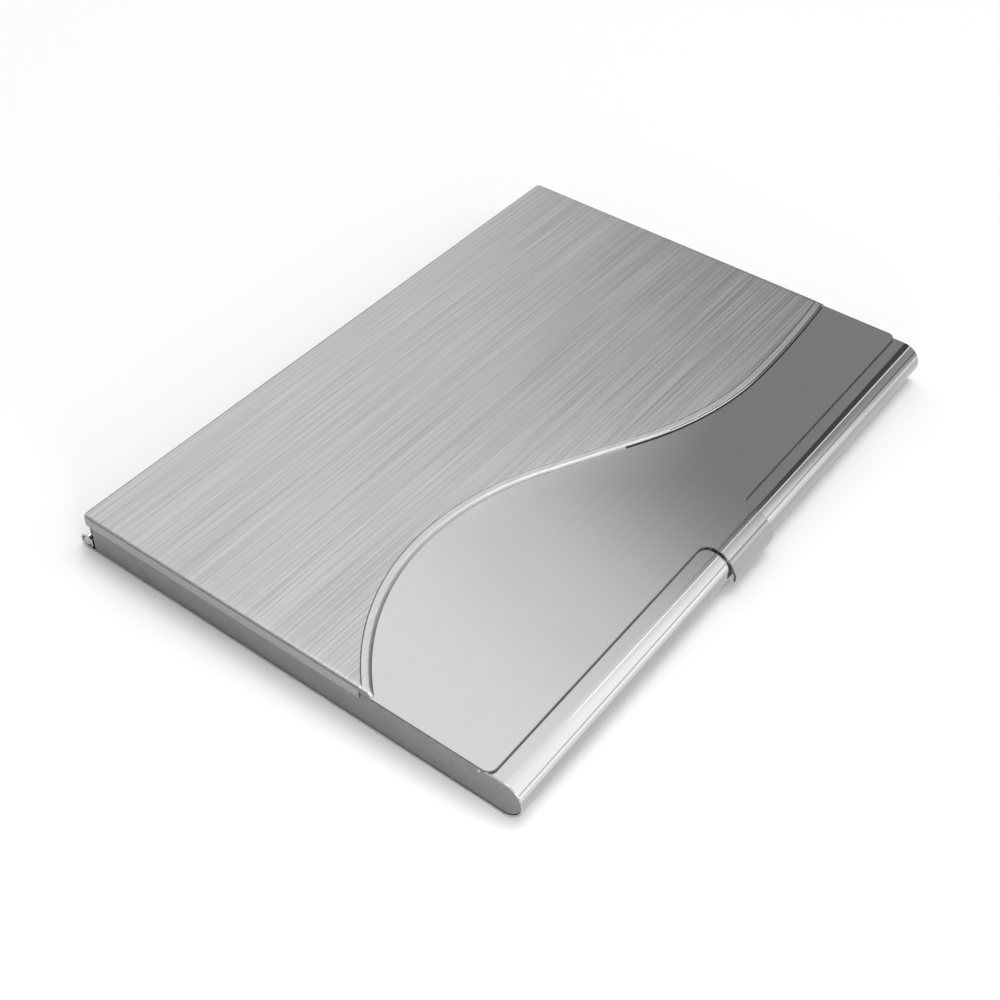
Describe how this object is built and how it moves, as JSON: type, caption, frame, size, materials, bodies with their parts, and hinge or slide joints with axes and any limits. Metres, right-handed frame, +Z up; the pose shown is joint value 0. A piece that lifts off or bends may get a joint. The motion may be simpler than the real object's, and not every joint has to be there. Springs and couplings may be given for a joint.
{
  "type": "business card case",
  "caption": "Flat hinged metal card case with a rolled front edge, a latch tab and a raised brushed plate ending in a wave.",
  "frame": {"origin": "on the flat underside of the tray, at the middle of the case's width and depth", "axes": "+X along the hinge, +Y from the rolled front towards the hinge, +Z up through the lid"},
  "size_m": [0.095, 0.067, 0.006],
  "materials": {
    "polished_tray": "mirror polished stainless sheet",
    "satin_ends": "satin stainless sheet",
    "spring_strip": "rolled spring strip",
    "rivets": "plain rivet",
    "pin_wire": "drawn wire",
    "polished_lid": "mirror polished stainless sheet",
    "brushed_face": "fine brush lines along the length"
  },
  "bodies": {
    "tray": {"base_shell": "polished_tray", "end_plate_left": "satin_ends", "end_plate_right": "satin_ends", "card_spring": "spring_strip", "spring_rivet_front": "rivets", "spring_rivet_rear": "rivets", "hinge_pin": "pin_wire"},
    "lid": {"lid_shell": "polished_lid", "brushed_plate": "brushed_face"}
  },
  "joints": [
    {"name": "lid_hinge", "type": "hinge", "parent": "tray", "child": "lid", "pos_m": [0, 0.03275, 0.00105], "axis": [-1, 0, 0], "range_deg": [0, 100]}
  ]
}
